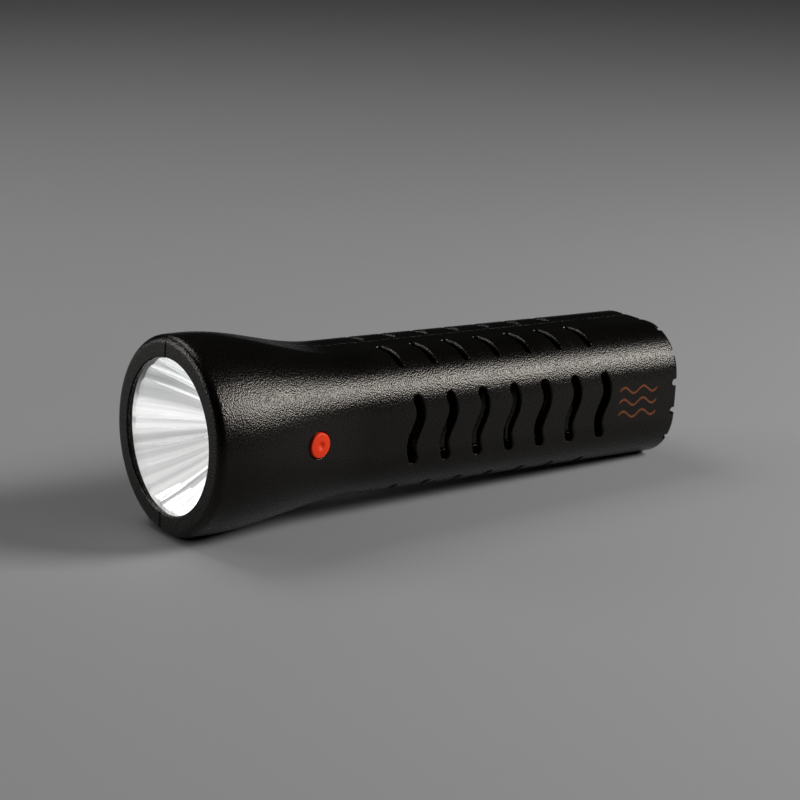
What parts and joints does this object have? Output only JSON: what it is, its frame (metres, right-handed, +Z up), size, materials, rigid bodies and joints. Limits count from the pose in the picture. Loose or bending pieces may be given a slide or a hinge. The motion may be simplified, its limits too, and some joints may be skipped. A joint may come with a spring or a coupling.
{
  "type": "emergency flashlight",
  "caption": "Black hand-held emergency flashlight with a belled head, a vented body, a side push button and a power cell that slides out of its tail.",
  "frame": {"origin": "middle of the bounding box at its bottom, on the surface that the flashlight lies on", "axes": "+X level towards the tail, +Z up, the push button faces -Y; the optical axis tips 2.7 degrees down towards the tail because the head is larger than the body"},
  "size_m": [0.1922, 0.0636, 0.0638],
  "materials": {
    "black_plastic": "fine textured moulding",
    "orange_plastic": "satin",
    "grey_plastic": "plain moulding",
    "clear_lens": "polished clear plastic",
    "seal_rubber": "matt",
    "chrome_reflector": "bright plated, fluted",
    "sink_aluminium": "turned",
    "white_board": "coated",
    "emitter_glow": "clear dome over yellow",
    "green_board": "coated board",
    "dark_ferrite": "matt",
    "contact_brass": "plain",
    "red_wire": "insulation",
    "black_wire": "insulation",
    "anode_metal": "dull cast plate",
    "wet_felt": "felt",
    "carbon_sheet": "rough",
    "screw_steel": "zinc plated"
  },
  "bodies": {
    "housing": {"housing_near": "black_plastic", "housing_far": "black_plastic", "lens_seal": "seal_rubber", "lens": "clear_lens", "reflector": "chrome_reflector", "heat_sink": "sink_aluminium", "emitter_board": "white_board", "light_emitter": "emitter_glow", "switch_body": "grey_plastic", "control_board": "green_board", "storage_coil": "dark_ferrite", "smoothing_can": "sink_aluminium", "driver_chip": "dark_ferrite", "contact_block": "grey_plastic", "contact_leaf_near": "contact_brass", "contact_leaf_far": "contact_brass", "emitter_wire_red": "red_wire", "emitter_wire_black": "black_wire", "feed_wire_red": "red_wire", "feed_wire_black": "black_wire", "housing_screw_1": "screw_steel", "housing_screw_2": "screw_steel", "housing_screw_3": "screw_steel", "housing_screw_4": "screw_steel", "housing_screw_5": "screw_steel", "housing_screw_6": "screw_steel", "board_screw_1": "screw_steel", "board_screw_2": "screw_steel"},
    "push_button": {"button": "orange_plastic", "switch_plunger": "black_plastic"},
    "power_cell": {"tail_cap": "black_plastic", "cell_tray": "black_plastic", "cell_plate": "anode_metal", "cell_pad_near": "wet_felt", "cell_pad_far": "wet_felt", "air_electrode_near": "carbon_sheet", "air_electrode_far": "carbon_sheet", "cell_terminal_near": "contact_brass", "cell_terminal_far": "contact_brass", "cap_screw_1": "screw_steel", "cap_screw_2": "screw_steel"}
  },
  "joints": [
    {"name": "button_press", "type": "slide", "parent": "housing", "child": "push_button", "axis": [0, 1, 0], "range_m": [0, 0.0015], "stiffness_N_per_m": 800, "springref_m": -0.001},
    {"name": "power_cell_slide", "type": "slide", "parent": "housing", "child": "power_cell", "axis": [0.9989, 0, -0.0472], "range_m": [0, 0.09]}
  ]
}
